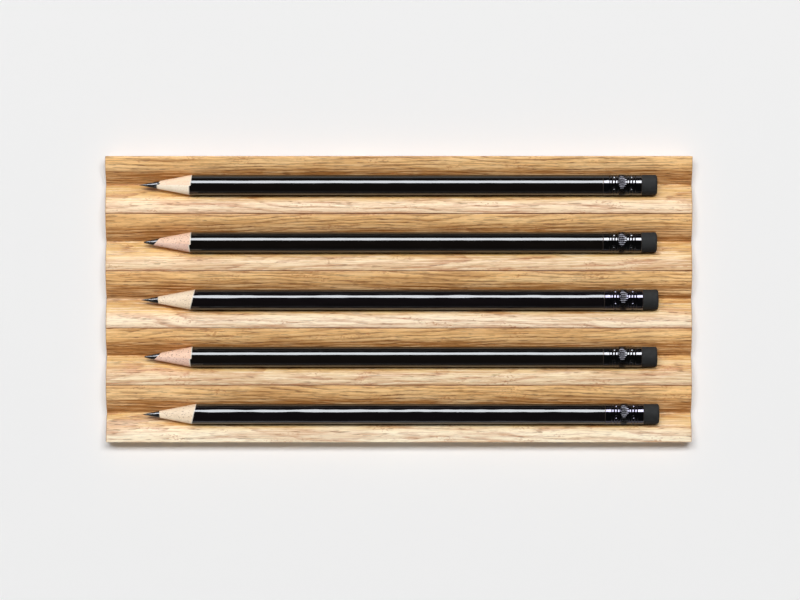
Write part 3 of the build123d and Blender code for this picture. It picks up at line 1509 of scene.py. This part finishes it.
@dataclass
class Studio:
    """The pale floor, the soft light and the camera above the tray, in metres and degrees."""

    window: SoftLamp
    front_wall: SoftLamp
    strips: Sequence[SoftLamp]
    floor_size: float = 9.0
    floor_drop: float = 0.00002
    camera_height: float = 1.5
    camera_tilt: float = -2.7
    view_width: float = 0.2932
    middle: tuple[float, float] = (0.00042, -0.00019)
    ridge: float = 0.008
    sensor: float = 36.0
    nearest: float = 0.01
    wall: Colour = paint(238, 238, 238)
    wall_top: tuple[float, float] = (0.05, 0.15)
    ceiling: Colour = (0.04, 0.04, 0.04, 1.0)

    def build_floor(self) -> Piece:
        """Lays the floor just under the tray.

        Returns:
            The floor.
        """
        bpy.ops.object.select_all(action="DESELECT")
        bpy.ops.mesh.primitive_plane_add(size=self.floor_size)
        floor = bpy.context.active_object
        floor.name = "floor"
        floor.data.transform(Matrix.Translation((0.0, 0.0, -self.floor_drop)))
        floor.data.materials.append(StudioPaper().make())
        return floor

    def build_walls(self) -> None:
        """Surrounds the floor with a low pale wall under a dim ceiling."""
        world = bpy.data.worlds.new("studio_walls")
        world.use_nodes = True
        bpy.context.scene.world = world
        graph = Graph(world.node_tree)
        where = graph.add("ShaderNodeTexCoord").outputs["Generated"]
        height = Amount(graph, graph.add("ShaderNodeSeparateXYZ", sockets={0: where}).outputs[2])
        colour = graph.blend(self.wall, self.ceiling, height.rise(*self.wall_top))
        light = graph.add("ShaderNodeBackground", sockets={"Color": colour})
        graph.add("ShaderNodeOutputWorld", sockets={"Surface": light.outputs[0]})

    @staticmethod
    def shade(floor: Piece, lamp: Piece) -> None:
        """Keeps a lamp's light off the floor.

        Args:
            floor: The floor.
            lamp: The lamp's object.
        """
        spared = bpy.data.collections.new(f"{lamp.name}_spares")
        spared.objects.link(floor)
        spared.collection_objects[0].light_linking.link_state = "EXCLUDE"
        lamp.light_linking.receiver_collection = spared

    def build_camera(self) -> None:
        """Sets the camera above the tray, where the photograph was taken from."""
        data = bpy.data.cameras.new("camera")
        data.sensor_width = self.sensor
        data.lens = self.sensor * self.camera_height / self.view_width
        data.clip_start = self.nearest
        camera = bpy.data.objects.new("camera", data)
        tilt = math.radians(self.camera_tilt)
        back = Vector((0.0, -math.sin(tilt), math.cos(tilt)))
        camera.location = Vector((*self.middle, self.ridge)) + back * self.camera_height
        camera.rotation_euler = (tilt, 0.0, 0.0)
        bpy.context.scene.collection.objects.link(camera)
        bpy.context.scene.camera = camera
        bpy.context.scene.view_settings.view_transform = "Standard"

    def build(self) -> None:
        """Sets up the whole studio."""
        floor = self.build_floor()
        self.build_walls()
        self.window.hang()
        self.shade(floor, self.front_wall.hang())
        for strip in self.strips:
            strip.hang()
        self.build_camera()


SEAT_CLEARANCE = 0.15

BOARDS = [
    Board(seed=0.31, slant=58.0, lean=0.012, ring=1.05, paleness=0.5, cream=paint(249, 220, 181)),
    Board(seed=1.27, slant=62.0, lean=-0.028, ring=0.95, paleness=0.3, cream=paint(234, 203, 160)),
    Board(seed=2.43, slant=56.0, lean=0.018, ring=1.1, paleness=0.75, cream=paint(254, 234, 202)),
    Board(seed=3.19, slant=61.0, lean=-0.03, ring=1.0, paleness=0.3, cream=paint(237, 214, 174)),
    Board(seed=4.53, slant=58.0, lean=0.024, ring=1.1, paleness=0.75, cream=paint(255, 243, 214)),
]

SHARPENINGS = [
    Sharpening(
        shift=-0.5, seam=-87.0, stakes=47.0, point_radius=0.10, cone_offset=-0.08, lead_offset=0.18,
        upper=SlatWood.PEACH, lower=SlatWood.CREAM, step=0.55,
    ),
    Sharpening(
        shift=-0.55, seam=-78.0, stakes=50.5, point_radius=0.50, cone_offset=-0.02, lead_offset=0.20,
        upper=SlatWood.ROSE, lower=SlatWood.DUSKY, step=0.65,
    ),
    Sharpening(
        shift=0.05, seam=12.0, stakes=43.0, point_radius=0.14, cone_offset=-0.17, lead_offset=-0.18,
        upper=SlatWood.SPECKLED, lower=SlatWood.SPECKLED, coat=CoatState.WAVY, tint=FerruleTint.VIOLET,
    ),
    Sharpening(
        shift=-0.3, seam=-82.0, stakes=50.5, point_radius=0.46, cone_offset=-0.04, lead_offset=0.20,
        upper=SlatWood.ROSE, lower=SlatWood.DUSKY, step=0.65,
    ),
    Sharpening(
        shift=0.45, seam=-18.0, stakes=43.0, point_radius=0.13, cone_offset=-0.16, lead_offset=-0.18,
        upper=SlatWood.SPECKLED, lower=SlatWood.SPECKLED, coat=CoatState.WAVY, tint=FerruleTint.VIOLET,
    ),
]

WINDOW = SoftLamp("window", back=21.0, distance=8.0, size=(6.4, 2.0), glow=3.2)
FRONT_WALL = SoftLamp("front_wall", back=-70.0, distance=8.0, size=(6.4, 2.4), glow=0.8)
COOL = (0.92, 0.96, 1.0)
STRIPS = [
    SoftLamp(name, 38.5, 0.9, (length, 0.42), glow=58.0, aside=aside, mirrored=True, colour=COOL)
    for name, length, aside in (("strip", 0.64, 0.0), ("side_strip", 0.3, -0.48))
]


def build_tray() -> list[Stave]:
    """Builds and dresses the staves.

    Returns:
        The staves, from the back to the front.
    """
    count = len(BOARDS)
    staves = [Stave(number, count) for number in range(1, count + 1)]
    for stave, board in zip(staves, BOARDS):
        joint = stave.half - stave.crest_easing
        finish = OiledOak(
            name=f"oiled_oak_{stave.number}",
            board=board,
            row=stave.row,
            ridge=stave.height,
            end=stave.length / 2,
            joint_behind=joint if stave.number > 1 else None,
            joint_before=joint if stave.number < count else None,
        )
        stave.dress(stave.build(), finish)
    return staves


def pencil_finishes() -> dict[Any, Material]:
    """Makes the finishes that the pencils choose from.

    Returns:
        The materials, by the choice that each stands for.
    """
    finishes = {"graphite": Graphite().make(), "rubber": GreyRubber().make()}
    for kind, label, choices in (
        (BareSlat, "bare_slat", SlatWood),
        (BlackLacquer, "black_lacquer", CoatState),
        (BlackFerrule, "ferrule", FerruleTint),
    ):
        for choice in choices:
            finishes[choice] = kind(f"{label}_{choice.name.lower()}", choice).make()
    return finishes


def build_pencils(staves: Sequence[Stave]) -> None:
    """Builds and dresses the pencils, each in the groove of its stave.

    Args:
        staves: The staves that they lie in.
    """
    sizes = PencilSizes()
    finishes = pencil_finishes()
    sleeve, rubber = Ferrule(sizes).build(), Eraser(sizes).build()
    for stave, cut in zip(staves, SHARPENINGS):
        seat = stave.nest_height(sizes.ferrule_radius + SEAT_CLEARANCE)
        pencil = Pencil(stave.number, stave.row, seat, cut, sizes)
        pencil.dress(pencil.build(sleeve, rubber), finishes)
    Bench.drop(sleeve)
    Bench.drop(rubber)


def main() -> None:
    """Builds the tray, the pencils and the studio."""
    logging.basicConfig(level=logging.INFO)
    staves = build_tray()
    build_pencils(staves)
    Studio(WINDOW, FRONT_WALL, STRIPS).build()


if __name__ == "__main__":
    main()
